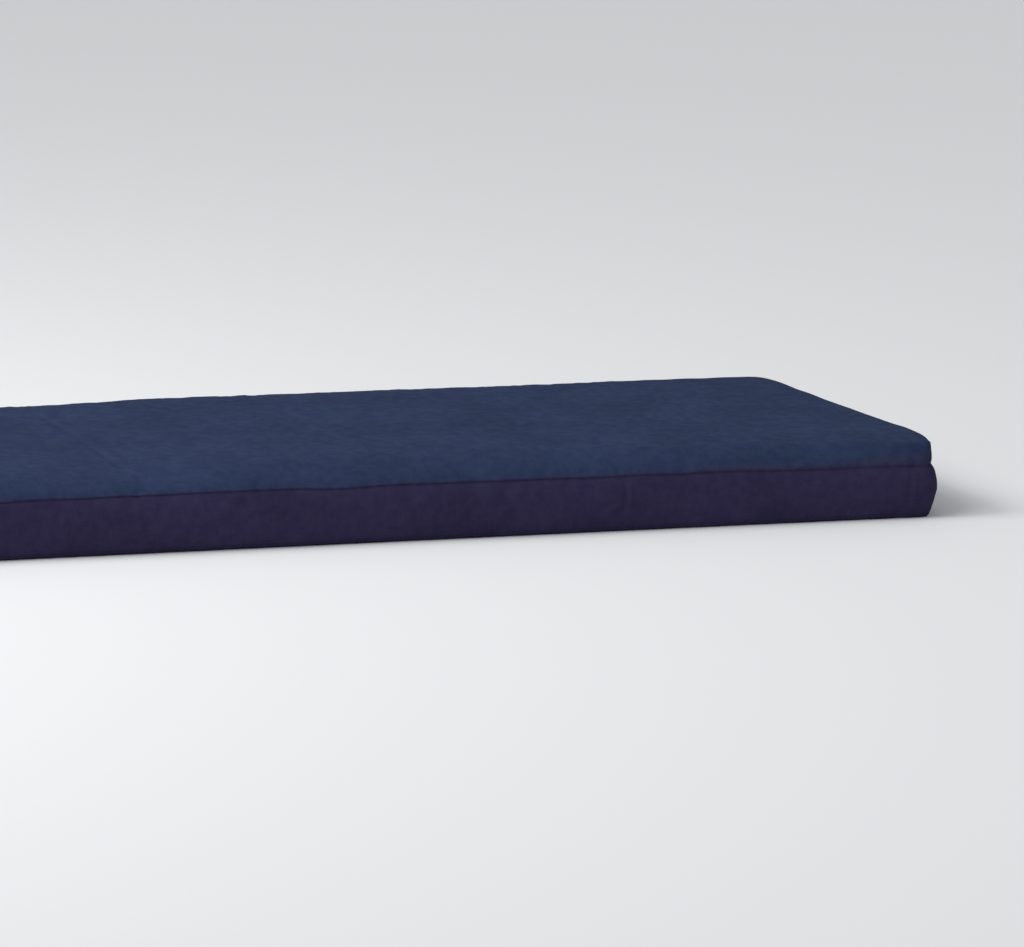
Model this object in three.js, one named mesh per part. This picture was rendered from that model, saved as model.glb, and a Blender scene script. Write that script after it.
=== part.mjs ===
import * as THREE from 'three';
import { mergeVertices } from 'three/addons/utils/BufferGeometryUtils.js';

// Bench cushion, in millimetres, with +Z up.
// A long, flat cushion of plain woven cloth, sewn as a top panel, a bottom panel and an upright band
// between them, and filled with one slab of foam. It is one closed body.
// X runs along the cushion, Y from its front edge to its back edge, and it rests on Z = 0.

// Driving dimensions
const LENGTH = 1700; // over the swelled ends, at the back corners
const DEPTH = 445; // over the swelled front and back, at the corners
const CORNER_RADIUS = 8; // upright corners, seen from above
const END_DRAW = 4; // how far the middle of an end is drawn in from its corners
const SIDE_DRAW = 4; // how far the front and the back are drawn in from their corners
const FRONT_TUCK = 24; // how far the front corners are pushed in along the length
const FRONT_TUCK_REACH = 90; // how far back from the front that push is felt
const BAND_SWELL = 5; // how far the band stands out past its two seams
const SWELL_LIFT = 0.15; // how far above its middle the band is fullest, as a share of half its height
const BASE_SEAM_HEIGHT = 2.5; // bottom seam above the surface
const TOP_SEAM_HEIGHT = 56; // top seam above the surface, at mid-length
const END_SEAM_DROP = 3.5; // how much lower the top seam runs at the ends
const PANEL_HEIGHT = 75.5; // top panel above the surface, once it has rolled up out of its seam
const CROWN_RISE = 2; // fullness of the top panel above its roll, at the middle
const HOLLOW_DEPTH = 3.5; // a soft hollow across the top panel, near the middle of its length
const HOLLOW_PLACE = -10;
const HOLLOW_REACH = 100;

// How far in from the seam the roll of each panel reaches.
// It is tight at the pressed front corners, and soft along the front and over the back.
const FRONT_ROLL_WIDTH = 60; // at the middle of the front
const FRONT_CORNER_ROLL_WIDTH = 7; // along the front, at its corners
const BACK_ROLL_WIDTH = 65;
const END_ROLL_WIDTH_AT_FRONT = 3; // along the ends, at their front corners
const END_ROLL_WIDTH_AT_BACK = 60;
const BASE_ROLL_WIDTH = 5; // all round the bottom panel, which is flat inside it

// How quickly each form dies away towards the edges, as a power of the way out from the middle
const SIDE_DRAW_POWER = 4;
const END_DRAW_POWER = 2;
const SEAM_DROP_POWER = 1.6;
const SWELL_POWER = 2;
const ROLL_POWER = 2;
const CROWN_POWER_ALONG = 6;
const CROWN_POWER_ACROSS = 2;

// Steps of the surface, closer together towards the edges, where it turns
const STEPS_ALONG = 48;
const STEPS_ACROSS = 24;
const STEPS_UP_BAND = 8;
const EDGE_CROWDING = 2;

const SEAM_HALF_LENGTH = LENGTH / 2 - BAND_SWELL;
const SEAM_HALF_DEPTH = DEPTH / 2 - BAND_SWELL;

// 1 in the middle and 0 at both ends of -1 to 1, flatter in the middle for a higher power
const fullness = (way, power) => 1 - Math.abs(way) ** power;

// Even steps of -1 to 1, moved closer together towards both ends
const crowded = (way) => Math.sign(way) * (1 - (1 - Math.abs(way)) ** EDGE_CROWDING);

// A quarter ellipse: 0 at the seam, where it leaves upright, and 1 from the width onwards
const rolled = (inFromSeam, width) => Math.sqrt(1 - (1 - Math.min(inFromSeam / width, 1)) ** 2);

// How far a panel has rolled out of its seam at a place on it, from 0 at the seam to 1
function panelRoll(x, y, endWidth, sideWidth) {
  const endRoll = rolled(SEAM_HALF_LENGTH - Math.abs(x), endWidth);
  const sideRoll = rolled(SEAM_HALF_DEPTH - Math.abs(y), sideWidth);
  return endRoll * sideRoll;
}

// Width of the top panel's roll along an end, which widens from the front to the back
function endRollWidth(y) {
  return THREE.MathUtils.lerp(END_ROLL_WIDTH_AT_FRONT, END_ROLL_WIDTH_AT_BACK, (y / SEAM_HALF_DEPTH + 1) / 2);
}

// Width of the top panel's roll along the back, or along the front, where it narrows towards the corners
function sideRollWidth(x, y) {
  if (y > 0) return BACK_ROLL_WIDTH;
  const middle = fullness(x / SEAM_HALF_LENGTH, ROLL_POWER);
  return THREE.MathUtils.lerp(FRONT_CORNER_ROLL_WIDTH, FRONT_ROLL_WIDTH, middle);
}

// Turns the square corners of the plan into round ones
function roundedCorner(x, y) {
  const pastX = Math.abs(x) - (SEAM_HALF_LENGTH - CORNER_RADIUS);
  const pastY = Math.abs(y) - (SEAM_HALF_DEPTH - CORNER_RADIUS);
  if (pastX <= 0 || pastY <= 0) return [x, y];
  const pull = Math.max(pastX, pastY) / Math.hypot(pastX, pastY) - 1;
  return [x + Math.sign(x) * pastX * pull, y + Math.sign(y) * pastY * pull];
}

// The way along a side from its middle: 1 where the side turns into its round corner
const alongSide = (way, halfSide) => Math.min(Math.abs(way) / (halfSide - CORNER_RADIUS), 1);

// Draws the sides in between their corners, and swells the band out between its seams
function drawnPlan(x, y, upBand) {
  const lifted = upBand - SWELL_LIFT * (1 - upBand ** 2);
  const swell = BAND_SWELL * fullness(lifted, SWELL_POWER);
  const endDraw = END_DRAW * fullness(alongSide(y, SEAM_HALF_DEPTH), END_DRAW_POWER);
  const sideDraw = SIDE_DRAW * fullness(alongSide(x, SEAM_HALF_LENGTH), SIDE_DRAW_POWER);
  const nearFront = THREE.MathUtils.clamp(1 - (y + SEAM_HALF_DEPTH) / FRONT_TUCK_REACH, 0, 1);
  const scaleX = 1 + (swell - endDraw - FRONT_TUCK * nearFront ** 2) / SEAM_HALF_LENGTH;
  const scaleY = 1 + (swell - sideDraw) / SEAM_HALF_DEPTH;
  return [x * scaleX, y * scaleY];
}

// Height of the top panel, which meets its seam where the roll is 0
function topHeight(x, y) {
  const along = x / SEAM_HALF_LENGTH;
  const across = y / SEAM_HALF_DEPTH;
  const seam = TOP_SEAM_HEIGHT - END_SEAM_DROP * Math.abs(along) ** SEAM_DROP_POWER;
  const crown = CROWN_RISE * fullness(along, CROWN_POWER_ALONG) * fullness(across, CROWN_POWER_ACROSS);
  const hollow = HOLLOW_DEPTH * Math.exp(-(((x - HOLLOW_PLACE) / HOLLOW_REACH) ** 2));
  const roll = panelRoll(x, y, endRollWidth(y), sideRollWidth(x, y));
  return seam + (PANEL_HEIGHT + crown - hollow - seam) * roll;
}

// Height of the bottom panel: flat on the surface, and turned up to its seam at the edge
const baseHeight = (x, y) => BASE_SEAM_HEIGHT * (1 - panelRoll(x, y, BASE_ROLL_WIDTH, BASE_ROLL_WIDTH));

// One point of the cushion, from a point of a cube that runs from -1 to 1 each way.
// The cube's top becomes the top panel, its bottom the bottom panel and its four sides the band.
function cushionPoint(cube) {
  const x = SEAM_HALF_LENGTH * crowded(cube.x);
  const y = SEAM_HALF_DEPTH * crowded(cube.y);
  const [planX, planY] = drawnPlan(...roundedCorner(x, y), cube.z);
  const height = THREE.MathUtils.lerp(baseHeight(x, y), topHeight(x, y), (cube.z + 1) / 2);
  return new THREE.Vector3(planX, planY, height);
}

function cushionGeometry() {
  const cube = new THREE.BoxGeometry(2, 2, 2, STEPS_ALONG, STEPS_ACROSS, STEPS_UP_BAND);
  cube.deleteAttribute('normal');
  cube.deleteAttribute('uv');
  const geometry = mergeVertices(cube);
  const position = geometry.getAttribute('position');
  for (let i = 0; i < position.count; i += 1) {
    const point = cushionPoint(new THREE.Vector3().fromBufferAttribute(position, i));
    position.setXYZ(i, point.x, point.y, point.z);
  }
  geometry.computeVertexNormals();
  return geometry;
}

const navyCanvas = new THREE.MeshStandardMaterial({ color: 0x313d59, roughness: 0.95, metalness: 0 });

const cushion = new THREE.Mesh(cushionGeometry(), navyCanvas);
cushion.name = 'cushion';

const benchCushion = new THREE.Group();
benchCushion.add(cushion);

export default benchCushion;
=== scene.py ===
import math
from collections import namedtuple

import bpy
import numpy as np
from mathutils import Matrix, Vector


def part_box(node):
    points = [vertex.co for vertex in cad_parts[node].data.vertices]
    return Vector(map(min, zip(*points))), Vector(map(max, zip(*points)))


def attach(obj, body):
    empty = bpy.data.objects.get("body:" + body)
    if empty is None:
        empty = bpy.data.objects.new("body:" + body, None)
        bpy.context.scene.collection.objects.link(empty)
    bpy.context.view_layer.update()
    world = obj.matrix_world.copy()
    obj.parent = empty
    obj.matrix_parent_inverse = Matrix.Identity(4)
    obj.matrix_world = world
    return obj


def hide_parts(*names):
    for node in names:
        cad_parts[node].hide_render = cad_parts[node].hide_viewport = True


# Bench cushion: a sewn cover of navy canvas over one foam slab, lying on a pale floor.
# Everything is in metres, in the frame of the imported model: X along the cushion, Y from its front edge
# to its back edge, and Z up from the floor.

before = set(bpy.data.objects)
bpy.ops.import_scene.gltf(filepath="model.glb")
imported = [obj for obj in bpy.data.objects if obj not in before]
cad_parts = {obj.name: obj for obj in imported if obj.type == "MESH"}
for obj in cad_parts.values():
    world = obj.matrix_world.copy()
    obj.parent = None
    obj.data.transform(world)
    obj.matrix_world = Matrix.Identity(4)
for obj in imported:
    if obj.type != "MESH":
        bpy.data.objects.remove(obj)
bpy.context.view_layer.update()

# The cushion's outside, from the frame
cushion_low, cushion_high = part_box("cushion")
FULL_LENGTH = cushion_high.x - cushion_low.x
FULL_DEPTH = cushion_high.y - cushion_low.y

# The cover over its foam slab, with the same sizes as the solid that it stands for
CORNER_RADIUS = 0.008  # upright corners, seen from above
END_DRAW = 0.004  # how far the middle of an end is drawn in from its corners
SIDE_DRAW = 0.004  # how far the front and the back are drawn in from their corners
FRONT_TUCK = 0.024  # how far the front corners are pushed in along the length
FRONT_TUCK_REACH = 0.090  # how far back from the front that push is felt
BAND_SWELL = 0.005  # how far the band stands out past its two seams
SWELL_LIFT = 0.15  # how far above its middle the band is fullest, as a share of half its height
BASE_SEAM_HEIGHT = 0.0025
TOP_SEAM_HEIGHT = 0.056
END_SEAM_DROP = 0.0035  # how much lower the top seam runs at the ends
CROWN_RISE = 0.002
PANEL_HEIGHT = cushion_high.z - CROWN_RISE  # top panel, once it has rolled up out of its seam
HOLLOW_DEPTH = 0.0035  # a soft hollow across the top panel, near the middle of its length
HOLLOW_PLACE = -0.010
HOLLOW_REACH = 0.100

# How far in from the seam the roll of each panel reaches.
# It is tight at the pressed front corners, and soft along the front and over the back.
FRONT_ROLL_WIDTH = 0.060
FRONT_CORNER_ROLL_WIDTH = 0.007
BACK_ROLL_WIDTH = 0.065
END_ROLL_WIDTH_AT_FRONT = 0.003
END_ROLL_WIDTH_AT_BACK = 0.060
BASE_ROLL_WIDTH = 0.005

# How quickly each form dies away towards the edges, as a power of the way out from the middle
SIDE_DRAW_POWER = 4
END_DRAW_POWER = 2
SEAM_DROP_POWER = 1.6
SWELL_POWER = 2
ROLL_POWER = 2
CROWN_POWER_ALONG = 6
CROWN_POWER_ACROSS = 2

SEAM_HALF_LENGTH = FULL_LENGTH / 2 - BAND_SWELL
SEAM_HALF_DEPTH = FULL_DEPTH / 2 - BAND_SWELL
BAND_HEIGHT = TOP_SEAM_HEIGHT - BASE_SEAM_HEIGHT
ROLL_RISE = PANEL_HEIGHT - TOP_SEAM_HEIGHT
STRAIGHT_LENGTH = SEAM_HALF_LENGTH - CORNER_RADIUS  # half of the front, up to its round corner
STRAIGHT_DEPTH = SEAM_HALF_DEPTH - CORNER_RADIUS
PERIMETER = 4 * (STRAIGHT_LENGTH + STRAIGHT_DEPTH + CORNER_RADIUS * math.pi / 2)

# Steps of the finished cover: fine at the seams, and growing towards the middle of each panel
SEAM_STEP = 0.0006
STEP_GROWTH = 1.3
PANEL_STEP = 0.005
BAND_STEP = 0.003
CREASE_STEP = 0.0011  # across the creases of the front band
CREASE_REACH = 0.0066
KEYS_PER_UNIT = 1e7  # how finely points of the cube are told apart

# Cloth simulation, on an even net of the same cover
NET_STEP = 0.009
SLACK_INSET = 0.0003  # the net starts this far inside the form, and the pressure fills it out again
SIM_FRAMES = 20
SIM_PRESSURE = 4.0
CLOTH_SPARE = 0.002  # how much larger the cloth is cut than the foam under it, as a share
FOAM_HOLD = 0.30  # how firmly the foam holds the cloth in place, from 0 to 1
SEAM_HOLD = 0.6  # the same along the seams
MOVE_CAP = 0.0015  # the furthest that a point of the cloth may leave the form
ON_FLOOR = 0.0001  # what is lower than this lies on the floor, and stays there
CLOTH_SETTINGS = {
    "quality": 6,
    "mass": 0.3,
    "tension_stiffness": 20,
    "compression_stiffness": 20,
    "bending_stiffness": 0.6,
    "use_pressure": True,
    "uniform_pressure_force": SIM_PRESSURE,
    "pin_stiffness": 1.0,
    "shrink_min": -CLOTH_SPARE,
}

# A sum of waves, from the longest to the shortest, with phases drawn from the seed
Waves = namedtuple("Waves", "longest shortest count seed")

# Sewing
TOP_GROOVE_DEPTH = 0.0012
BASE_GROOVE_DEPTH = 0.0006
GROOVE_WIDTH = 0.0010
PUCKER_RISE = 0.00035
PUCKER_REACH = 0.012
PUCKER_WAVES = (Waves(0.090, 0.014, 10, seed=0), Waves(0.090, 0.014, 10, seed=1))  # top seam, bottom seam
SEAM_WANDER = 0.0006  # how far the top seam wanders up and down
WANDER_WAVES = Waves(0.45, 0.09, 6, seed=3)
WANDER_POWER = 8  # keeps the seam still at the corners
STITCH_PITCH = 0.0034
STITCH_LENGTH = 0.0026
THREAD_WIDTH = 0.0006
THREAD_LIFT = 0.0002  # how far the thread lies above the bottom of its seam
BEAD_SEGMENTS = 6
BEAD_RINGS = 4

# Unevenness of the cloth over the foam
PANEL_WAVE = 0.00035  # soft rises and dips of the panels
PANEL_WAVES = Waves(0.26, 0.035, 14, seed=8)
PANEL_WAVE_INSET = 0.02  # how far in from the seam they set in
BAND_WAVE = 0.0005  # slow waves along the band
BAND_WAVES = Waves(0.40, 0.045, 9, seed=21)
BAND_WAVE_LEAN = 0.2  # how far a wave shifts along the band from its bottom seam to its top seam
BAND_WAVE_FADE = 0.03  # distance from a corner at which the waves are full
GATHER_RISE = 0.0006  # small folds where the cloth is gathered at the corners of the top panel
GATHER_REACH = 0.028
GATHER_PITCH = 0.013
GATHER_EDGE = 0.004  # distance from the seam at which the folds are full
GATHER_TURNS = (9, 4)  # in radians: shifts the folds from end to end, and from side to side

# Creases in the front band: place along it, its lower and upper end as shares of the band's height, how
# wide it is, how far it stands out (below 0: sinks in), and how far its upper end leans to the right
Crease = namedtuple("Crease", "place low high width rise lean")
BAND_CREASES = (
    Crease(-0.630, 0.15, 0.80, 0.0050, -0.0007, 0.004),
    Crease(-0.081, 0.35, 1.00, 0.0035, -0.0008, 0.003),
    Crease(-0.002, 0.30, 0.95, 0.0030, 0.0006, -0.002),
    Crease(0.250, 0.40, 1.00, 0.0040, -0.0008, 0.004),
    Crease(0.504, 0.30, 0.95, 0.0028, -0.0013, 0.002),
    Crease(0.510, 0.30, 0.95, 0.0022, 0.0009, 0.002),
    Crease(0.667, 0.25, 0.90, 0.0045, -0.0008, -0.003),
    Crease(0.815, 0.15, 0.80, 0.0035, -0.0010, -0.001),
    Crease(0.821, 0.25, 0.78, 0.0020, 0.0012, -0.001),
)

# Camera, fitted to the photograph's view of the cushion
CAMERA_PLACE = (-1.5412, -5.0318, 1.0632)
CAMERA_TURN = 21.691  # degrees from +Y towards +X
CAMERA_DROP = 10.928  # degrees below level
CAMERA_ROLL = 1.806
CAMERA_LENS = 192.9
CAMERA_SENSOR = 36.0

# Studio light
ROOM_COLOUR = (0.97, 0.98, 1.0)
ROOM_STRENGTH = 0.50
SUN_STRENGTH = 1.05
SUN_SPREAD = 30.0  # degrees: a broad, soft source
SUN_WAY = (0.71, 0.14, -0.69)  # the way that its light travels
SIDE_LIGHT_PLACE = (-1.9, 0.1, 1.9)  # a soft box on the left, whose light falls off along the cushion
SIDE_LIGHT_SIZE = 1.2
SIDE_LIGHT_POWER = 44.0

# Colours of the cloth, each as its deeper and its brighter shade. The top panel's are bluer with painted
# sheen, the pale light on cloth that faces up, over the purple navy of the band
PANEL_SHADES_WITH_PAINTED_SHEEN = ((0.0232, 0.0352, 0.0860), (0.0264, 0.0422, 0.0912))
BAND_SHADES = ((0.0308, 0.0251, 0.0685), (0.0352, 0.0299, 0.0752))
LINT_COLOUR = (0.16, 0.18, 0.24)
WORN_AND_PAINTED_LIGHT_COLOUR = (0.19, 0.14, 0.28)  # along the edge of the top panel, at its front: partly faded wear, partly painted light on the front of its roll
THREAD_SHADES = ((0.0300, 0.0330, 0.0800), (0.0420, 0.0480, 0.1050))
FLOOR_REACH = 20.0
FLOOR_COLOUR = (0.80, 0.81, 0.82)
FLOOR_GAP = 0.0002  # keeps the floor clear of the underside, which is at Z = 0

# How the canvas varies, as shares of its colour, with painted shade and light in the weave, painted shade
# beside the seams and painted sheen on the top panel
PATCH_SHADES = (0.93, 1.07)
SLUB_SPAN = (0.35, 0.65)
SLUB_SHADES = (0.93, 1.07)  # thinner and thicker stretches of the threads
WEAVE_SPAN = (0.0, 0.8)
WEAVE_PAINTED_SHADING = (0.80, 1.06)  # painted shade between the threads, and painted light on them
SEAM_SHADE = 0.88  # painted shade in and beside the seam
SEAM_SHADE_REACH = 0.004
PAINTED_SHEEN_FACING = (-0.15, 0.45)  # how far up the cloth faces where the painted sheen sets in, and where it is full
# the least share of painted sheen on the top panel, where it faces level or down
PAINTED_SHEEN_LEAST = 0.35
WORN_AND_PAINTED_LIGHT_SPAN = (0.002, 0.014)  # from the seam, where the lighter edge, of wear and painted light, is full and where it ends
WORN_AND_PAINTED_LIGHT_SHARES = (0.035, 0.065)
LINT_SHARE = 0.35
LINT_SPAN = (0.015, 0.035)  # from the middle of a speck to its edge, in steps of its pattern
LINT_RARITY = 0.80
CANVAS_ROUGHNESS = (0.98, 0.88)
CANVAS_SPECULAR = 0.05
CANVAS_BUMP = (0.6, 0.00015)  # strength, and distance in metres
THREAD_ROUGHNESS = (0.75, 0.6)
THREAD_SPECULAR = 0.2
THREAD_BUMP = (0.5, 0.0001)
FLOOR_ROUGHNESS = 0.8
FLOOR_SPECULAR = 0.2

# The weave, and the scales of the noise patterns, per metre
WEAVE_PITCH = 0.0008  # from thread to thread
WEAVE_WANDER = 0.6  # how far the threads stray, as a share of their pitch
WEAVE_WANDER_SCALE = 220.0
SLUB_SCALES = (60.0, 900.0)  # along the threads, and across them
PATCH_SCALE = 13.0
TONE_SCALE = 100.0
LINT_SCALE = 38.0
THREAD_TONE_SCALE = 700.0
THREAD_TWIST_SCALE = 4000.0
NOISE_SPAN = (0.33, 0.67)  # the part of a noise pattern that is spread over 0 to 1

Cube = namedtuple("Cube", "points faces sides places")


def fullness(way, power):
    """1 in the middle and 0 at both ends of -1 to 1, flatter in the middle for a higher power."""
    return 1 - np.abs(way) ** power


def rolled(in_from_seam, width):
    """A quarter ellipse: 0 at the seam, where it leaves upright, and 1 from the width onwards."""
    return np.sqrt(1 - (1 - np.clip(in_from_seam / width, 0, 1)) ** 2)


def end_roll_width(y):
    """Width of the top panel's roll along an end, which widens from the front to the back."""
    share = (y / SEAM_HALF_DEPTH + 1) / 2
    return END_ROLL_WIDTH_AT_FRONT + (END_ROLL_WIDTH_AT_BACK - END_ROLL_WIDTH_AT_FRONT) * share


def side_roll_width(x, y):
    """Width of the top panel's roll along the back or the front, where it narrows to the corners."""
    middle = fullness(x / SEAM_HALF_LENGTH, ROLL_POWER)
    front_width = FRONT_CORNER_ROLL_WIDTH + (FRONT_ROLL_WIDTH - FRONT_CORNER_ROLL_WIDTH) * middle
    return np.where(y > 0, BACK_ROLL_WIDTH, front_width)


def roll_length(width):
    """Length of cloth over the roll of the top panel: about a quarter of an ellipse."""
    return math.pi / 2 * np.hypot(width, ROLL_RISE) / math.sqrt(2)


def cloth_half(half, width):
    """Half a panel's cut size, with its two rolls laid flat."""
    return half + roll_length(width) - width


def on_plan(way, half, width):
    """Place on the plan of a point of the cloth, from -1 at one seam to 1 at the other."""
    arc = roll_length(width)
    inward = (1 - np.abs(way)) * cloth_half(half, width)
    turned = np.minimum(inward / arc, 1) * math.pi / 2
    plan_in = width * (1 - np.cos(turned)) + np.maximum(inward - arc, 0)
    return np.sign(way) * (half - plan_in)


def roll_widths(cube):
    """Widths of the roll at the ends and at the sides, for each point of the cloth."""
    end_width = end_roll_width(cube[:, 1] * SEAM_HALF_DEPTH)
    return end_width, side_roll_width(cube[:, 0] * SEAM_HALF_LENGTH, cube[:, 1])


def plan_of(cube):
    """Square-cornered plan of the cloth's points, before the corners are rounded."""
    end_width, side_width = roll_widths(cube)
    x = on_plan(cube[:, 0], SEAM_HALF_LENGTH, end_width)
    y = on_plan(cube[:, 1], SEAM_HALF_DEPTH, side_width)
    return x, y


def rounded(x, y, half_x, half_y, radius):
    """Turns square corners into round ones."""
    past_x = np.abs(x) - (half_x - radius)
    past_y = np.abs(y) - (half_y - radius)
    inside = (past_x > 0) & (past_y > 0)
    reach = np.where(inside, np.hypot(past_x, past_y), 1.0)
    pull = np.where(inside, np.maximum(past_x, past_y) / reach - 1, 0.0)
    return x + np.sign(x) * past_x * pull, y + np.sign(y) * past_y * pull


def along_side(way, half_side):
    """The way along a side from its middle: 1 where the side turns into its round corner."""
    return np.minimum(np.abs(way) / (half_side - CORNER_RADIUS), 1)


def drawn_plan(x, y, up_band):
    """Draws the sides in between their corners, and swells the band out between its seams."""
    lifted = up_band - SWELL_LIFT * (1 - up_band**2)
    swell = BAND_SWELL * fullness(lifted, SWELL_POWER)
    end_draw = END_DRAW * fullness(along_side(y, SEAM_HALF_DEPTH), END_DRAW_POWER)
    side_draw = SIDE_DRAW * fullness(along_side(x, SEAM_HALF_LENGTH), SIDE_DRAW_POWER)
    near_front = np.clip(1 - (y + SEAM_HALF_DEPTH) / FRONT_TUCK_REACH, 0, 1)
    scale_x = 1 + (swell - end_draw - FRONT_TUCK * near_front**2) / SEAM_HALF_LENGTH
    scale_y = 1 + (swell - side_draw) / SEAM_HALF_DEPTH
    return x * scale_x, y * scale_y


def panel_roll(x, y, end_width, side_width):
    """How far a panel has rolled out of its seam, from 0 at the seam to 1."""
    end_roll = rolled(SEAM_HALF_LENGTH - np.abs(x), end_width)
    side_roll = rolled(SEAM_HALF_DEPTH - np.abs(y), side_width)
    return end_roll * side_roll


def top_height(x, y):
    """Height of the top panel, which meets its seam where the roll is 0."""
    along = x / SEAM_HALF_LENGTH
    across = y / SEAM_HALF_DEPTH
    seam = TOP_SEAM_HEIGHT - END_SEAM_DROP * np.abs(along) ** SEAM_DROP_POWER
    seam = seam + SEAM_WANDER * seam_wander(x, y)
    crown = CROWN_RISE * fullness(along, CROWN_POWER_ALONG) * fullness(across, CROWN_POWER_ACROSS)
    hollow = HOLLOW_DEPTH * np.exp(-(((x - HOLLOW_PLACE) / HOLLOW_REACH) ** 2))
    roll = panel_roll(x, y, end_roll_width(y), side_roll_width(x, y))
    return seam + (PANEL_HEIGHT + crown - hollow - seam) * roll


def base_height(x, y):
    """Height of the bottom panel: flat on the floor, and turned up to its seam at the edge."""
    return BASE_SEAM_HEIGHT * (1 - panel_roll(x, y, BASE_ROLL_WIDTH, BASE_ROLL_WIDTH))


def cover_form(cube):
    """The cover's form: cube points of -1 to 1 each way, to places in metres."""
    x, y = plan_of(cube)
    up = cube[:, 2]
    corners = rounded(x, y, SEAM_HALF_LENGTH, SEAM_HALF_DEPTH, CORNER_RADIUS)
    plan_x, plan_y = drawn_plan(*corners, up)
    low = base_height(x, y)
    height = low + (top_height(x, y) - low) * (up + 1) / 2
    return np.stack([plan_x, plan_y, height], axis=1)


def wavy_line(way, form):
    """A smooth, uneven line of about -1 to 1: a sum of waves of many lengths."""
    draw = np.random.default_rng(form.seed)
    lengths = np.geomspace(form.longest, form.shortest, form.count)
    phases = draw.uniform(0, 2 * math.pi, form.count)
    total = sum(np.sin(2 * math.pi * way / length + phase) for length, phase in zip(lengths, phases))
    return total / math.sqrt(form.count)


def wavy_surface(x, y, form):
    """A smooth, uneven surface of about -1 to 1: a sum of waves that run many ways."""
    draw = np.random.default_rng(form.seed)
    total = np.zeros_like(x)
    for length in np.geomspace(form.longest, form.shortest, form.count):
        turn, phase = draw.uniform(0, 2 * math.pi, 2)
        way = x * math.cos(turn) + y * math.sin(turn)
        total += np.sin(2 * math.pi * way / length + phase)
    return total / math.sqrt(form.count)


def side_line(x, y):
    """A place on an endless line, of which the front and the back each take a stretch."""
    return x + np.where(y > 0, 3 * FULL_LENGTH, 0.0)


def end_line(x, y):
    """The same for the two ends."""
    return y + np.where(x > 0, 5 * FULL_LENGTH, 7 * FULL_LENGTH)


def seam_wander(x, y):
    """How far the top seam strays up or down along each side, of about -1 to 1."""
    along = wavy_line(side_line(x, y), WANDER_WAVES) * fullness(x / SEAM_HALF_LENGTH, WANDER_POWER)
    across = wavy_line(end_line(x, y), WANDER_WAVES) * fullness(y / SEAM_HALF_DEPTH, WANDER_POWER)
    return along + across


def perimeter_way(x, y):
    """Distance round the cushion of a place on its seam, from the middle of the back edge."""
    past_x = np.maximum(np.abs(x) - STRAIGHT_LENGTH, 0)
    past_y = np.maximum(np.abs(y) - STRAIGHT_DEPTH, 0)
    way = np.minimum(np.abs(x), STRAIGHT_LENGTH) + CORNER_RADIUS * np.arctan2(past_x, past_y)
    way = way + np.where(past_x > 0, STRAIGHT_DEPTH - np.minimum(np.abs(y), STRAIGHT_DEPTH), 0.0)
    way = np.where(y < 0, PERIMETER / 2 - way, way)
    return np.where(x < 0, PERIMETER - way, way)


def growing_steps(half, largest):
    """Places from -1 to 1, close together at both ends and a step apart in the middle."""
    places = [0.0]
    step = SEAM_STEP
    while places[-1] + step < half:
        places.append(places[-1] + step)
        step = min(step * STEP_GROWTH, largest)
    inward = np.array(places) / half
    return np.concatenate([inward - 1, [0.0], 1 - inward[::-1]])


def creased_steps(places):
    """The steps along the cushion, with closer ones where the front band is creased."""
    half = cloth_half(SEAM_HALF_LENGTH, END_ROLL_WIDTH_AT_FRONT)
    close = []
    for crease in BAND_CREASES:
        first = round((crease.place - CREASE_REACH) / CREASE_STEP)
        last = round((crease.place + CREASE_REACH) / CREASE_STEP)
        low, high = (edge * CREASE_STEP / half for edge in (first - 0.5, last + 0.5))
        places = places[(places < low) | (places > high)]
        close += range(first, last + 1)
    return np.sort(np.concatenate([places, np.unique(close) * CREASE_STEP / half]))


def even_steps(half, step):
    return np.linspace(-1, 1, 2 * round(half / step) + 1)


def cube_sides(along, across, up):
    """The sides of the cube: name, the axis it faces, its place on it, its grid axes and their steps."""
    steps = (along, across, up)
    for name, faces, end, first, second in (
        ("top", 2, 1, 0, 1),
        ("bottom", 2, -1, 1, 0),
        ("front", 1, -1, 0, 2),
        ("back", 1, 1, 2, 0),
        ("right", 0, 1, 1, 2),
        ("left", 0, -1, 2, 1),
    ):
        yield name, faces, end, (first, second), (steps[first], steps[second])


def welded_cube(along, across, up):
    """A cube's grid points without doubles, its faces, and where the points of each side are."""
    grids = {}
    for name, faces, end, axes, steps in cube_sides(along, across, up):
        grid = np.empty((len(steps[0]), len(steps[1]), 3))
        grid[..., axes[0]] = steps[0][:, None]
        grid[..., axes[1]] = steps[1][None, :]
        grid[..., faces] = end
        grids[name] = grid
    points = np.concatenate([grid.reshape(-1, 3) for grid in grids.values()])
    keys = np.round(points * KEYS_PER_UNIT).astype(np.int64)
    _, first_use, place = np.unique(keys, axis=0, return_index=True, return_inverse=True)
    place = place.reshape(-1)
    faces = []
    sides = []
    places = {}
    start = 0
    for name, grid in grids.items():
        size = grid.shape[0] * grid.shape[1]
        index = place[start : start + size].reshape(grid.shape[:2])
        quads = np.stack([index[:-1, :-1], index[1:, :-1], index[1:, 1:], index[:-1, 1:]], axis=-1)
        faces.append(quads.reshape(-1, 4))
        sides += [name] * len(faces[-1])
        places[name] = index
        start += size
    return Cube(points[first_use], np.concatenate(faces), np.array(sides), places)


def new_object(name, mesh):
    piece = bpy.data.objects.new(name, mesh)
    bpy.context.scene.collection.objects.link(piece)
    return piece


def new_mesh(name, points, faces, edges=()):
    mesh = bpy.data.meshes.new(name)
    mesh.from_pydata(np.asarray(points).tolist(), list(edges), np.asarray(faces).tolist())
    mesh.update()
    return mesh


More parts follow.
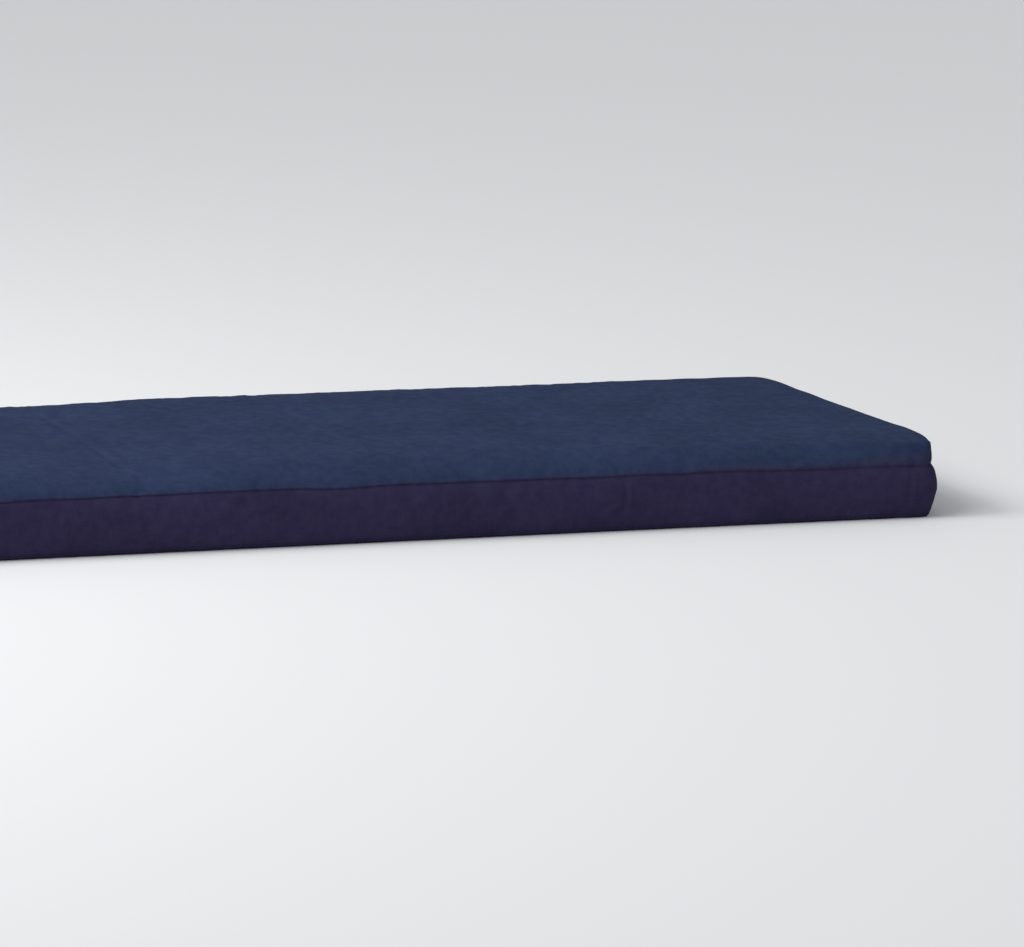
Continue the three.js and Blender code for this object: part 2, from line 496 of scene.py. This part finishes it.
def point_normals(points, faces):
    """Outward normals of the points, each the mean of its faces' normals weighted by their size."""
    corner = points[faces]
    crossed = np.cross(corner[:, 2] - corner[:, 0], corner[:, 3] - corner[:, 1])
    normals = np.zeros_like(points)
    for k in range(4):
        np.add.at(normals, faces[:, k], crossed)
    return normals / np.linalg.norm(normals, axis=1, keepdims=True)


def on_top(cube):
    """1 on the top panel and its seam, and 0 elsewhere."""
    return np.isclose(cube[:, 2], 1)


def inward_cloth(cube):
    """Length of cloth from each point in to the ends and in to the sides, as seen from above."""
    end_width, side_width = roll_widths(cube)
    from_end = cloth_half(SEAM_HALF_LENGTH, end_width) * (1 - np.abs(cube[:, 0]))
    from_side = cloth_half(SEAM_HALF_DEPTH, side_width) * (1 - np.abs(cube[:, 1]))
    return from_end, from_side


def seam_distances(cube):
    """Length of cloth from each point to the top seam and to the bottom seam."""
    panel_in = np.minimum(*inward_cloth(cube))
    from_top = BAND_HEIGHT * (1 - cube[:, 2]) / 2 + panel_in
    from_base = BAND_HEIGHT * (1 + cube[:, 2]) / 2 + panel_in
    return from_top, from_base


def seam_puckers(cube):
    """Small rises and dips that the sewing draws into the cloth beside both seams."""
    x, y = plan_of(cube)
    from_end, from_side = inward_cloth(cube)
    relief = np.zeros(len(cube))
    for form, down in zip(PUCKER_WAVES, (1 - cube[:, 2], 1 + cube[:, 2])):
        band_way = BAND_HEIGHT * down / 2
        along = wavy_line(side_line(x, y), form) * np.exp(-(from_side + band_way) / PUCKER_REACH)
        across = wavy_line(end_line(x, y), form) * np.exp(-(from_end + band_way) / PUCKER_REACH)
        relief += PUCKER_RISE * (along + across)
    return relief


def band_relief(cube):
    """Slow waves along the upright band, and the creases in its front."""
    x, y = plan_of(cube)
    up = (cube[:, 2] + 1) / 2
    open_band = np.clip(fullness(cube[:, 2], 2), 0, 1)
    from_end, from_side = inward_cloth(cube)
    on_side = np.exp(-from_side / BAND_STEP)
    on_end = np.exp(-from_end / BAND_STEP)
    lean = BAND_WAVE_LEAN * up
    along = wavy_line(side_line(x, y) + lean, BAND_WAVES) * np.minimum(1, from_end / BAND_WAVE_FADE)
    across = wavy_line(end_line(x, y) + lean, BAND_WAVES) * np.minimum(1, from_side / BAND_WAVE_FADE)
    relief = (along * on_side + across * on_end) * BAND_WAVE * open_band
    front = (y < 0) * on_side
    for crease in BAND_CREASES:
        middle = (crease.low + crease.high) / 2
        reach = (crease.high - crease.low) / 2
        along = (up - middle) / reach
        across = (x - crease.place - crease.lean * along) / crease.width
        relief += front * crease.rise * np.clip(fullness(along, 2), 0, 1) * np.exp(-(across**2))
    return relief


def panel_relief(cube):
    """Soft rises and dips of the top panel, and the small folds where it is gathered at its corners."""
    x, y = plan_of(cube)
    from_end, from_side = inward_cloth(cube)
    inner = 1 - np.exp(-np.minimum(from_end, from_side) / PANEL_WAVE_INSET)
    relief = PANEL_WAVE * wavy_surface(x, y, PANEL_WAVES) * inner
    corner_way = np.hypot(from_end, from_side)
    turn = np.arctan2(from_end, from_side)
    arc_way = turn * np.maximum(corner_way, GATHER_PITCH / 2)
    shift = GATHER_TURNS[0] * np.sign(x) + GATHER_TURNS[1] * np.sign(y)
    fold = np.cos(2 * math.pi * arc_way / GATHER_PITCH + shift)
    fading = np.exp(-corner_way / GATHER_REACH) * np.minimum(1, corner_way / GATHER_PITCH)
    edge_still = np.minimum(1, np.minimum(from_end, from_side) / GATHER_EDGE)
    return (relief + GATHER_RISE * fold * fading * edge_still) * on_top(cube)


def sewn_relief(cube):
    """Height over the form of what the sewing and the loose cloth do."""
    relief = seam_puckers(cube) + band_relief(cube) + panel_relief(cube)
    for distance, depth in zip(seam_distances(cube), (TOP_GROOVE_DEPTH, BASE_GROOVE_DEPTH)):
        relief -= depth * np.exp(-distance / GROOVE_WIDTH)
    return relief


def cloth_map(cube):
    """Where each point lies on the flat cut cloth, for the panels and for the band."""
    end_width, side_width = roll_widths(cube)
    half_x = cloth_half(SEAM_HALF_LENGTH, end_width)
    half_y = cloth_half(SEAM_HALF_DEPTH, side_width)
    radius = CORNER_RADIUS + half_x - SEAM_HALF_LENGTH
    panel = rounded(cube[:, 0] * half_x, cube[:, 1] * half_y, half_x, half_y, radius)
    band = (perimeter_way(*plan_of(cube)), BAND_HEIGHT * (cube[:, 2] + 1) / 2)
    return np.stack(panel, axis=1), np.stack(band, axis=1)


def face_map(cube, faces, sides):
    """The map of the cut cloth at each corner of each face; the band's map is closed at the back."""
    panel_map, band_map = cloth_map(cube)
    band = band_map[faces]
    way = band[..., 0]
    behind = way.max(axis=1, keepdims=True) - way > PERIMETER / 2
    band[..., 0] = np.where(behind, way + PERIMETER, way)
    flat = np.isin(sides, ["top", "bottom"])
    return np.where(flat[:, None, None], panel_map[faces], band)


def simulated_moves(net):
    """How the cloth settles over the foam: the moves away from the form of each point of an even net."""
    form = cover_form(net.points)
    slack = form - SLACK_INSET * point_normals(form, net.faces)
    piece = new_object("slack_cover", new_mesh("slack_cover", slack, net.faces))
    hold = np.full(len(form), FOAM_HOLD)
    hold[np.minimum(*seam_distances(net.points)) < NET_STEP / 4] = SEAM_HOLD
    hold[form[:, 2] < ON_FLOOR] = 1.0
    held = piece.vertex_groups.new(name="held")
    for weight in np.unique(hold):
        held.add(np.flatnonzero(hold == weight).tolist(), float(weight), "REPLACE")
    cloth = piece.modifiers.new("cloth", "CLOTH")
    for name, value in CLOTH_SETTINGS.items():
        setattr(cloth.settings, name, value)
    cloth.settings.effector_weights.gravity = 0
    cloth.settings.vertex_group_mass = "held"
    scene = bpy.context.scene
    for step in range(1, SIM_FRAMES + 1):
        scene.frame_set(step)
    settled = piece.evaluated_get(bpy.context.evaluated_depsgraph_get()).to_mesh()
    places = np.empty(len(form) * 3, dtype=np.float32)
    settled.vertices.foreach_get("co", places)
    scene.frame_set(1)
    bpy.data.objects.remove(piece)
    moves = places.reshape(-1, 3).astype(float) - form
    length = np.linalg.norm(moves, axis=1, keepdims=True)
    moves *= MOVE_CAP / np.maximum(length, MOVE_CAP)
    moves[form[:, 2] < ON_FLOOR] = 0
    return moves


def smooth_weights(coarse, fine):
    """Weights that carry values at even places over to any places between them, on a smooth curve."""
    last = len(coarse) - 1
    position = (fine + 1) / 2 * last
    before = np.clip(np.floor(position).astype(int), 0, last - 1)
    t = position - before
    weights = np.zeros((len(fine), len(coarse)))
    rows = np.arange(len(fine))
    for shift, weight in (
        (-1, (-t + 2 * t**2 - t**3) / 2),
        (0, (2 - 5 * t**2 + 3 * t**3) / 2),
        (1, (t + 4 * t**2 - 3 * t**3) / 2),
        (2, (t**3 - t**2) / 2),
    ):
        np.add.at(weights, (rows, np.clip(before + shift, 0, last)), weight)
    return weights


def carried_over(values, net, net_steps, fine, fine_steps):
    """Values at the net's points, carried over to the points of the fine cube."""
    carried = np.zeros((len(fine.points), 3))
    for net_side, fine_side in zip(cube_sides(*net_steps), cube_sides(*fine_steps)):
        rows = smooth_weights(net_side[4][0], fine_side[4][0])
        columns = smooth_weights(net_side[4][1], fine_side[4][1])
        grid = values[net.places[net_side[0]]]
        finer = np.einsum("im,mnk,jn->ijk", rows, grid, columns, optimize=True)
        carried[fine.places[fine_side[0]]] = finer
    return carried


def set_mark(mesh, name, values):
    """Writes one number per point, which the materials read by this name."""
    mark = mesh.attributes.new(name, "FLOAT", "POINT")
    mark.data.foreach_set("value", values.astype(np.float32))


def sewn_cover():
    """The finished cover as one closed mesh, with its map of the cut cloth; also its two seam lines."""
    half_length = cloth_half(SEAM_HALF_LENGTH, END_ROLL_WIDTH_AT_BACK)
    half_depth = cloth_half(SEAM_HALF_DEPTH, FRONT_ROLL_WIDTH)
    net_steps = tuple(even_steps(half, NET_STEP) for half in (half_length, half_depth, BAND_HEIGHT / 2))
    fine_steps = (
        creased_steps(growing_steps(half_length, PANEL_STEP)),
        growing_steps(half_depth, PANEL_STEP),
        growing_steps(BAND_HEIGHT / 2, BAND_STEP),
    )
    net = welded_cube(*net_steps)
    fine = welded_cube(*fine_steps)
    moves = carried_over(simulated_moves(net), net, net_steps, fine, fine_steps)
    points = cover_form(fine.points) + moves
    points += point_normals(points, fine.faces) * sewn_relief(fine.points)[:, None]
    points[:, 2] = np.maximum(points[:, 2], 0)
    mesh = new_mesh("cushion_cover", points, fine.faces)
    layer = mesh.uv_layers.new(name="cloth")
    corners = face_map(fine.points, fine.faces, fine.sides)
    layer.data.foreach_set("uv", corners.astype(np.float32).reshape(-1))
    from_top, from_base = seam_distances(fine.points)
    normals = point_normals(points, fine.faces)
    set_mark(mesh, "top_panel", on_top(fine.points) * np.minimum(1, from_top / SEAM_STEP))
    set_mark(mesh, "facing_up", normals[:, 2])
    set_mark(mesh, "facing_front", np.maximum(-normals[:, 1], 0))
    set_mark(mesh, "from_seam", np.minimum(from_top, from_base))
    mesh.shade_smooth()
    way = perimeter_way(*plan_of(fine.points))
    lines = []
    for distance in (from_top, from_base):
        ring = np.flatnonzero(distance < SEAM_STEP / 10)
        ring = ring[np.argsort(way[ring])]
        lines.append(points[ring] + THREAD_LIFT * normals[ring])
    return new_object("cushion_cover", mesh), lines


def add_node(tree, kind, **settings):
    node = tree.nodes.new(kind)
    for name, value in settings.items():
        setattr(node, name, value)
    return node


def join(tree, value, socket):
    """Links an output socket to an input, or sets the input to a plain value."""
    if isinstance(value, bpy.types.NodeSocket):
        tree.links.new(value, socket)
    elif value is not None:
        socket.default_value = value


def math_node(tree, operation, first, second=None):
    """A Math node whose inputs are sockets or numbers; gives back its output socket."""
    node = add_node(tree, "ShaderNodeMath", operation=operation)
    join(tree, first, node.inputs[0])
    join(tree, second, node.inputs[1])
    return node.outputs[0]


def noise_node(tree, vector, scale, detail):
    """A Noise Texture on the given vector; gives back its value socket, of about 0.25 to 0.75."""
    node = add_node(tree, "ShaderNodeTexNoise")
    join(tree, vector, node.inputs["Vector"])
    node.inputs["Scale"].default_value = scale
    node.inputs["Detail"].default_value = detail
    return node.outputs["Fac"]


def stretched(tree, vector, scale):
    """A vector scaled differently each way."""
    node = add_node(tree, "ShaderNodeMapping")
    join(tree, vector, node.inputs["Vector"])
    node.inputs["Scale"].default_value = scale
    return node.outputs[0]


def mapped(tree, value, low, high, to_low, to_high, kind="SMOOTHSTEP"):
    """Maps a value from one span to another, and holds it at the ends."""
    node = add_node(tree, "ShaderNodeMapRange", interpolation_type=kind)
    for place, given in enumerate((value, low, high, to_low, to_high)):
        join(tree, given, node.inputs[place])
    return node.outputs[0]


def mixed(tree, factor, first, second, blend="MIX"):
    """A colour between two colours, or one colour laid on another."""
    node = add_node(tree, "ShaderNodeMix", data_type="RGBA", blend_type=blend)
    join(tree, factor, node.inputs["Factor"])
    for socket, colour in (("A", first), ("B", second)):
        given = colour if isinstance(colour, bpy.types.NodeSocket) else (*colour, 1)
        join(tree, given, [s for s in node.inputs if s.name == socket and s.type == "RGBA"][0])
    return [s for s in node.outputs if s.type == "RGBA"][0]


def add_bump(tree, height, strength, distance, shader):
    """Lets a height lean the shader's normal."""
    bump = add_node(tree, "ShaderNodeBump")
    bump.inputs["Strength"].default_value = strength
    bump.inputs["Distance"].default_value = distance
    join(tree, height, bump.inputs["Height"])
    join(tree, bump.outputs["Normal"], shader.inputs["Normal"])


def new_group(name, kind, inputs, outputs):
    """An empty node group with named sockets; gives back the group and its two end nodes."""
    group = bpy.data.node_groups.new(name, kind)
    for title, socket_kind, value in inputs:
        socket = group.interface.new_socket(name=title, in_out="INPUT", socket_type=socket_kind)
        if value is not None:
            socket.default_value = value
    for title, socket_kind in outputs:
        group.interface.new_socket(name=title, in_out="OUTPUT", socket_type=socket_kind)
    return group, group.nodes.new("NodeGroupInput"), group.nodes.new("NodeGroupOutput")


def plain_weave_group():
    """Threads that cross over and under each other, on a map in metres."""
    group, start, end = new_group(
        "plain_weave",
        "ShaderNodeTree",
        (
            ("Cloth", "NodeSocketVector", None),
            ("Pitch", "NodeSocketFloat", WEAVE_PITCH),
            ("Wander", "NodeSocketFloat", WEAVE_WANDER),
        ),
        (("Height", "NodeSocketFloat"), ("Slub", "NodeSocketFloat")),
    )
    cloth = start.outputs["Cloth"]
    split = add_node(group, "ShaderNodeSeparateXYZ")
    join(group, cloth, split.inputs[0])
    strays = noise_node(group, cloth, WEAVE_WANDER_SCALE, 2.0)
    wander = math_node(group, "MULTIPLY", strays, start.outputs["Wander"])
    threads = []
    for way in (split.outputs["X"], split.outputs["Y"]):
        count = math_node(group, "DIVIDE", way, start.outputs["Pitch"])
        turned = math_node(group, "MULTIPLY", math_node(group, "ADD", count, wander), math.pi)
        threads.append(math_node(group, "SINE", turned))
    half_over = math_node(group, "MULTIPLY", math_node(group, "MULTIPLY", *threads), 0.5)
    warp_up = math_node(group, "ADD", half_over, 0.5)
    weft_up = math_node(group, "SUBTRACT", 0.5, half_over)
    warp = math_node(group, "MULTIPLY", math_node(group, "ABSOLUTE", threads[0]), warp_up)
    weft = math_node(group, "MULTIPLY", math_node(group, "ABSOLUTE", threads[1]), weft_up)
    join(group, math_node(group, "MAXIMUM", warp, weft), end.inputs["Height"])
    along = noise_node(group, stretched(group, cloth, (*SLUB_SCALES, 1.0)), 1.0, 1.0)
    across = noise_node(group, stretched(group, cloth, (*SLUB_SCALES[::-1], 1.0)), 1.0, 1.0)
    both = math_node(group, "ADD", along, across)
    join(group, math_node(group, "MULTIPLY", both, 0.5), end.inputs["Slub"])
    return group


def dye_group():
    """Uneven dye: small and broad patches and specks of lint, on the piece's own coordinates."""
    group, start, end = new_group(
        "uneven_dye",
        "ShaderNodeTree",
        (
            ("Place", "NodeSocketVector", None),
            ("Broad", "NodeSocketFloat", PATCH_SCALE),
            ("Small", "NodeSocketFloat", TONE_SCALE),
        ),
        (("Tone", "NodeSocketFloat"), ("Patch", "NodeSocketFloat"), ("Lint", "NodeSocketFloat")),
    )
    place = start.outputs["Place"]
    broad = add_node(group, "ShaderNodeTexNoise")
    join(group, place, broad.inputs["Vector"])
    join(group, start.outputs["Broad"], broad.inputs["Scale"])
    broad.inputs["Detail"].default_value = 2.0
    small = add_node(group, "ShaderNodeTexNoise")
    join(group, place, small.inputs["Vector"])
    join(group, start.outputs["Small"], small.inputs["Scale"])
    small.inputs["Detail"].default_value = 3.0
    small.inputs["Roughness"].default_value = 0.6
    join(group, mapped(group, small.outputs["Fac"], *NOISE_SPAN, 0.0, 1.0), end.inputs["Tone"])
    join(group, mapped(group, broad.outputs["Fac"], *NOISE_SPAN, 0.0, 1.0), end.inputs["Patch"])
    specks = add_node(group, "ShaderNodeTexVoronoi")
    join(group, place, specks.inputs["Vector"])
    specks.inputs["Scale"].default_value = LINT_SCALE
    near = mapped(group, specks.outputs["Distance"], *LINT_SPAN, 1.0, 0.0)
    split = add_node(group, "ShaderNodeSeparateXYZ")
    join(group, specks.outputs["Color"], split.inputs[0])
    chosen = math_node(group, "GREATER_THAN", split.outputs["X"], LINT_RARITY)
    join(group, math_node(group, "MULTIPLY", near, chosen), end.inputs["Lint"])
    return group


def canvas_material(weave, dye):
    """Navy canvas: bluer with painted sheen where the top panel faces up, and more purple on what stands
    upright; painted shade beside the seams and between the threads, and a lighter front edge that is
    partly wear, partly painted light.
    """
    material = bpy.data.materials.new("navy_canvas_cloth")
    material.use_nodes = True
    tree = material.node_tree
    shader = tree.nodes["Principled BSDF"]
    shader.inputs["Specular IOR Level"].default_value = CANVAS_SPECULAR
    cloth = add_node(tree, "ShaderNodeUVMap", uv_map="cloth")
    threads = add_node(tree, "ShaderNodeGroup", node_tree=weave)
    join(tree, cloth.outputs["UV"], threads.inputs["Cloth"])
    uneven = add_node(tree, "ShaderNodeGroup", node_tree=dye)
    join(tree, add_node(tree, "ShaderNodeTexCoord").outputs["Object"], uneven.inputs["Place"])
    panel, facing_up, facing_front, from_seam = (
        add_node(tree, "ShaderNodeAttribute", attribute_name=name).outputs["Fac"]
        for name in ("top_panel", "facing_up", "facing_front", "from_seam")
    )
    tone = uneven.outputs["Tone"]
    # Painted sheen: the top panel takes its bluer colour where it faces up
    panel_with_painted_sheen = mixed(tree, tone, *PANEL_SHADES_WITH_PAINTED_SHEEN)
    band_colour = mixed(tree, tone, *BAND_SHADES)
    painted_sheen_share = math_node(tree, "MULTIPLY", panel, mapped(tree, facing_up, *PAINTED_SHEEN_FACING, PAINTED_SHEEN_LEAST, 1.0))
    colour = mixed(tree, painted_sheen_share, band_colour, panel_with_painted_sheen)
    patches = mapped(tree, uneven.outputs["Patch"], 0.0, 1.0, *PATCH_SHADES, "LINEAR")
    slub = mapped(tree, threads.outputs["Slub"], *SLUB_SPAN, *SLUB_SHADES, "LINEAR")
    # Painted shade between the threads of the weave, and painted light on them
    painted_weave_shading = mapped(tree, threads.outputs["Height"], *WEAVE_SPAN, *WEAVE_PAINTED_SHADING, "LINEAR")
    # Painted shade darkens the cloth in and beside both seams
    painted_seam_shade = mapped(tree, from_seam, 0.0, SEAM_SHADE_REACH, SEAM_SHADE, 1.0)
    shade = math_node(tree, "MULTIPLY", math_node(tree, "MULTIPLY", patches, slub), painted_weave_shading)
    shade = math_node(tree, "MULTIPLY", shade, painted_seam_shade)
    grey = add_node(tree, "ShaderNodeCombineColor")
    for socket in grey.inputs[:3]:
        join(tree, shade, socket)
    colour = mixed(tree, 1.0, colour, grey.outputs[0], "MULTIPLY")
    # A lighter front edge of the top panel: partly wear, partly painted light on its front-facing roll
    near_seam = mapped(tree, from_seam, *WORN_AND_PAINTED_LIGHT_SPAN, 1.0, 0.0)
    worn_and_painted_light = math_node(tree, "MULTIPLY", near_seam, math_node(tree, "MULTIPLY", panel, facing_front))
    worn_and_painted_light = math_node(tree, "MULTIPLY", worn_and_painted_light, mapped(tree, tone, 0.0, 1.0, *WORN_AND_PAINTED_LIGHT_SHARES))
    colour = mixed(tree, worn_and_painted_light, colour, WORN_AND_PAINTED_LIGHT_COLOUR)
    lint = math_node(tree, "MULTIPLY", uneven.outputs["Lint"], LINT_SHARE)
    join(tree, mixed(tree, lint, colour, LINT_COLOUR), shader.inputs["Base Color"])
    roughness = mapped(tree, tone, 0.0, 1.0, *CANVAS_ROUGHNESS, "LINEAR")
    join(tree, roughness, shader.inputs["Roughness"])
    add_bump(tree, threads.outputs["Height"], *CANVAS_BUMP, shader)
    return material


def thread_material(dye):
    """Sewing thread: the cloth's navy, a little lighter, with an uneven dye of its own."""
    material = bpy.data.materials.new("navy_thread")
    material.use_nodes = True
    tree = material.node_tree
    shader = tree.nodes["Principled BSDF"]
    shader.inputs["Specular IOR Level"].default_value = THREAD_SPECULAR
    uneven = add_node(tree, "ShaderNodeGroup", node_tree=dye)
    uneven.inputs["Small"].default_value = THREAD_TONE_SCALE
    place = add_node(tree, "ShaderNodeTexCoord").outputs["Object"]
    join(tree, place, uneven.inputs["Place"])
    tone = uneven.outputs["Tone"]
    join(tree, mixed(tree, tone, *THREAD_SHADES), shader.inputs["Base Color"])
    join(tree, mapped(tree, tone, 0.0, 1.0, *THREAD_ROUGHNESS, "LINEAR"), shader.inputs["Roughness"])
    add_bump(tree, noise_node(tree, place, THREAD_TWIST_SCALE, 1.0), *THREAD_BUMP, shader)
    return material


def stitch_tree():
    """Stitches along a line of edges: small thread-shaped beads, laid end to end."""
    group, start, end = new_group(
        "seam_stitches",
        "GeometryNodeTree",
        (
            ("Seam", "NodeSocketGeometry", None),
            ("Pitch", "NodeSocketFloat", STITCH_PITCH),
            ("Length", "NodeSocketFloat", STITCH_LENGTH),
            ("Width", "NodeSocketFloat", THREAD_WIDTH),
            ("Thread", "NodeSocketMaterial", None),
        ),
        (("Stitches", "NodeSocketGeometry"),),
    )
    curve = add_node(group, "GeometryNodeMeshToCurve")
    join(group, start.outputs["Seam"], curve.inputs["Mesh"])
    places = add_node(group, "GeometryNodeResampleCurve", mode="LENGTH")
    join(group, curve.outputs["Curve"], places.inputs["Curve"])
    join(group, start.outputs["Pitch"], places.inputs["Length"])
    bead = add_node(group, "GeometryNodeMeshUVSphere")
    bead.inputs["Segments"].default_value = BEAD_SEGMENTS
    bead.inputs["Rings"].default_value = BEAD_RINGS
    bead.inputs["Radius"].default_value = 0.5
    size = add_node(group, "ShaderNodeCombineXYZ")
    join(group, start.outputs["Length"], size.inputs["X"])
    join(group, start.outputs["Width"], size.inputs["Y"])
    join(group, start.outputs["Width"], size.inputs["Z"])
    turned = add_node(group, "FunctionNodeAlignRotationToVector", axis="X")
    join(group, add_node(group, "GeometryNodeInputTangent").outputs[0], turned.inputs["Vector"])
    laid = add_node(group, "GeometryNodeInstanceOnPoints")
    join(group, places.outputs["Curve"], laid.inputs["Points"])
    join(group, bead.outputs["Mesh"], laid.inputs["Instance"])
    join(group, turned.outputs["Rotation"], laid.inputs["Rotation"])
    join(group, size.outputs[0], laid.inputs["Scale"])
    real = add_node(group, "GeometryNodeRealizeInstances")
    join(group, laid.outputs["Instances"], real.inputs[0])
    smooth = add_node(group, "GeometryNodeSetShadeSmooth")
    join(group, real.outputs[0], smooth.inputs[0])
    finish = add_node(group, "GeometryNodeSetMaterial")
    join(group, smooth.outputs[0], finish.inputs["Geometry"])
    join(group, start.outputs["Thread"], finish.inputs["Material"])
    join(group, finish.outputs["Geometry"], end.inputs["Stitches"])
    return group


def seam_stitches(lines, thread):
    """The thread that shows in both seams, as one plain mesh."""
    edges = []
    start = 0
    for line in lines:
        count = len(line)
        edges += [(start + k, start + (k + 1) % count) for k in range(count)]
        start += count
    guide = new_object("seam_guide", new_mesh("seam_guide", np.concatenate(lines), [], edges))
    modifier = guide.modifiers.new("stitches", "NODES")
    modifier.node_group = stitch_tree()
    sockets = modifier.node_group.interface.items_tree
    inputs = {socket.name: socket.identifier for socket in sockets if socket.in_out == "INPUT"}
    modifier[inputs["Pitch"]] = STITCH_PITCH
    modifier[inputs["Length"]] = STITCH_LENGTH
    modifier[inputs["Width"]] = THREAD_WIDTH
    modifier[inputs["Thread"]] = thread
    depsgraph = bpy.context.evaluated_depsgraph_get()
    mesh = bpy.data.meshes.new_from_object(guide.evaluated_get(depsgraph))
    mesh.name = "seam_stitches"
    bpy.data.objects.remove(guide)
    return new_object("seam_stitches", mesh)


def floor_material():
    material = bpy.data.materials.new("pale_floor")
    material.use_nodes = True
    shader = material.node_tree.nodes["Principled BSDF"]
    shader.inputs["Base Color"].default_value = (*FLOOR_COLOUR, 1)
    shader.inputs["Roughness"].default_value = FLOOR_ROUGHNESS
    shader.inputs["Specular IOR Level"].default_value = FLOOR_SPECULAR
    return material


def pale_floor():
    sides = ((-1, -1), (1, -1), (1, 1), (-1, 1))
    corners = [(FLOOR_REACH * x, FLOOR_REACH * y, -FLOOR_GAP) for x, y in sides]
    mesh = new_mesh("floor", corners, [(0, 1, 2, 3)])
    mesh.materials.append(floor_material())
    return new_object("floor", mesh)


def studio():
    """Plain soft light: a pale room, a broad light from above the left, and a soft box on the left."""
    scene = bpy.context.scene
    scene.view_settings.view_transform = "Standard"
    world = bpy.data.worlds.new("studio")
    world.use_nodes = True
    background = world.node_tree.nodes["Background"]
    background.inputs["Color"].default_value = (*ROOM_COLOUR, 1)
    background.inputs["Strength"].default_value = ROOM_STRENGTH
    scene.world = world
    light = bpy.data.lights.new("soft_sun", "SUN")
    light.energy = SUN_STRENGTH
    light.angle = math.radians(SUN_SPREAD)
    lamp = bpy.data.objects.new("soft_sun", light)
    lamp.rotation_euler = Vector(SUN_WAY).to_track_quat("-Z", "Y").to_euler()
    scene.collection.objects.link(lamp)
    soft_box = bpy.data.lights.new("side_light", "AREA")
    soft_box.size = SIDE_LIGHT_SIZE
    soft_box.energy = SIDE_LIGHT_POWER
    stand = bpy.data.objects.new("side_light", soft_box)
    stand.location = SIDE_LIGHT_PLACE
    stand.rotation_euler = (-Vector(SIDE_LIGHT_PLACE)).to_track_quat("-Z", "Y").to_euler()
    scene.collection.objects.link(stand)


def photo_camera():
    camera = bpy.data.cameras.new("camera")
    camera.lens = CAMERA_LENS
    camera.sensor_width = CAMERA_SENSOR
    camera.clip_end = 100
    holder = bpy.data.objects.new("camera", camera)
    turned = Matrix.Rotation(math.radians(-CAMERA_TURN), 4, "Z")
    dropped = Matrix.Rotation(math.radians(90 - CAMERA_DROP), 4, "X")
    leaned = Matrix.Rotation(math.radians(CAMERA_ROLL), 4, "Z")
    holder.matrix_world = Matrix.Translation(CAMERA_PLACE) @ turned @ dropped @ leaned
    bpy.context.scene.collection.objects.link(holder)
    bpy.context.scene.camera = holder


photo_camera()
studio()
pale_floor()

dye = dye_group()
cover, seam_lines = sewn_cover()
cover.data.materials.append(canvas_material(plain_weave_group(), dye))
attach(cover, "root")
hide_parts("cushion")

stitches = seam_stitches(seam_lines, thread_material(dye))
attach(stitches, "root")
